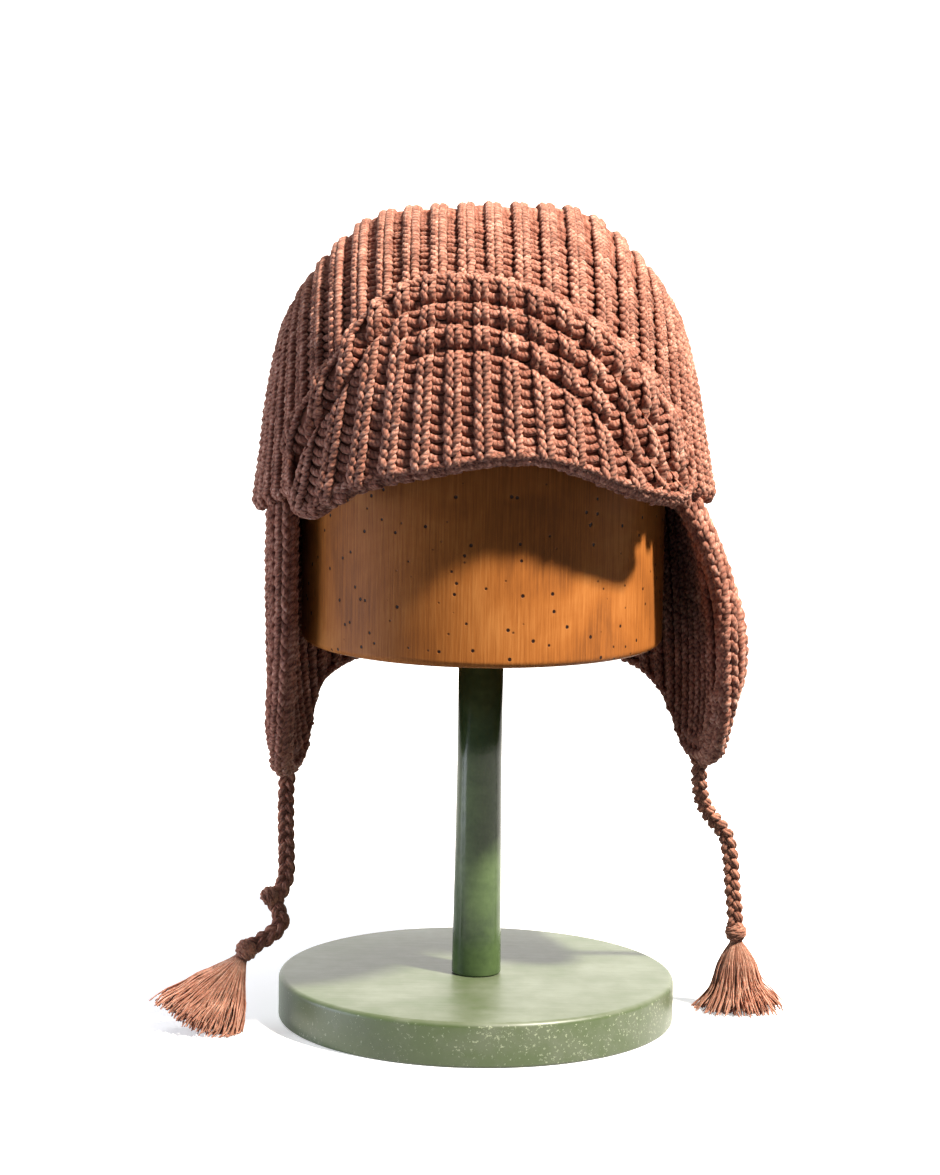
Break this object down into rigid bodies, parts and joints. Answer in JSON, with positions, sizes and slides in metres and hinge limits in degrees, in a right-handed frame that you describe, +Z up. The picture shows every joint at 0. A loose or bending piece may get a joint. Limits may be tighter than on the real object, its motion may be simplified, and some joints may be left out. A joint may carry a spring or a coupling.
{
  "type": "knitted aviator hat on a hat stand",
  "caption": "Ribbed knitted aviator hat with a turned-up quilted peak, ear and neck flaps, braided ties and tassels, shown on an oval wooden hat block on a turned post and round foot.",
  "frame": {"origin": "centre of the underside of the round foot, on the surface it stands on", "axes": "+Z up along the post; the peak of the hat faces -Y; the wearer's left is +X"},
  "size_m": [0.2864, 0.2459, 0.3722],
  "materials": {
    "yarn": "ribbed knit, matt",
    "cord": "braided yarn, matt",
    "tassel": "loose yarn ends",
    "block_wood": "worn wax",
    "post_paint": "gloss green paint on wood",
    "base_paint": "brushed matt green paint on wood"
  },
  "bodies": {
    "root": {"crown": "yarn", "peak": "yarn", "ear_neck_flap": "yarn", "tie_left": "cord", "tie_right": "cord", "knot_left": "cord", "knot_right": "cord", "tassel_left": "tassel", "tassel_right": "tassel", "hat_block": "block_wood", "stand_post": "post_paint", "stand_base": "base_paint"}
  },
  "joints": []
}
